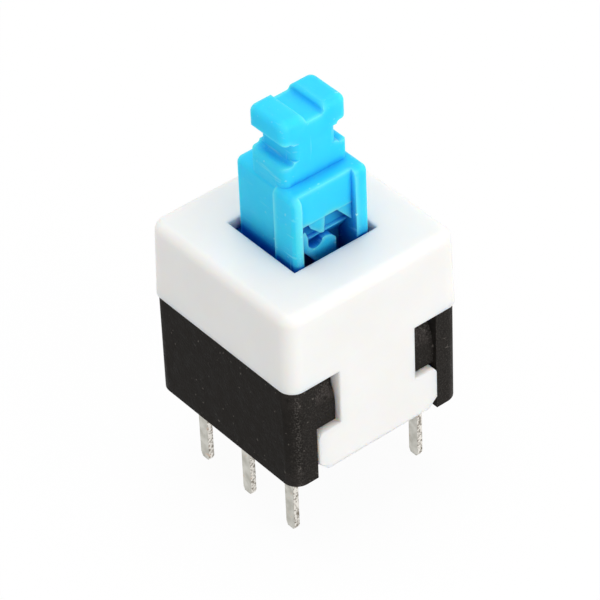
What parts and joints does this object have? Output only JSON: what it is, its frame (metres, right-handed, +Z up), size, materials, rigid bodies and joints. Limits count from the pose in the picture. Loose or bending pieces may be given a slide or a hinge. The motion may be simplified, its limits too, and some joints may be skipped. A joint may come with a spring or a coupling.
{
  "type": "self-locking push switch",
  "caption": "Small square latching push switch: black base with board terminals, white clipped cover, blue plunger with a heart cam and notched stem.",
  "frame": {"origin": "centre of the base's underside, which seats on the circuit board", "axes": "+Z up through the plunger, away from the board; Y along the terminal rows; the snap tongues are on the two Y faces and the cam window faces -Y"},
  "size_m": [0.008, 0.008, 0.0167],
  "materials": {
    "base_plastic": "fine moulded texture",
    "cover_plastic": "smooth satin",
    "plunger_plastic": "satin, slightly translucent",
    "tinned_metal": "dull tin plating",
    "spring_steel": "drawn wire",
    "contact_bronze": "rolled bronze sheet"
  },
  "bodies": {
    "housing": {"base": "base_plastic", "cover": "cover_plastic", "pin_spring": "contact_bronze", "return_spring": "spring_steel", "terminal_left_front": "tinned_metal", "terminal_left_middle": "tinned_metal", "terminal_left_rear": "tinned_metal", "terminal_right_front": "tinned_metal", "terminal_right_middle": "tinned_metal", "terminal_right_rear": "tinned_metal"},
    "button": {"plunger": "plunger_plastic", "moving_contact_left": "contact_bronze", "moving_contact_right": "contact_bronze"},
    "latch": {"lock_pin": "spring_steel"}
  },
  "joints": [
    {"name": "button_press", "type": "slide", "parent": "housing", "child": "button", "axis": [0, 0, -1], "range_m": [0, 0.0025], "stiffness_N_per_m": 400, "springref_m": -0.001, "deforming": ["return_spring"]},
    {"name": "latch_swing", "type": "hinge", "parent": "housing", "child": "latch", "pos_m": [0.00084, -0.00195, 0.0016], "axis": [0, -1, 0], "range_deg": [0, 4.5]}
  ],
  "couplings": [
    {"joint": "latch_swing", "follows": "button_press", "rad_per_m": 30.9}
  ]
}
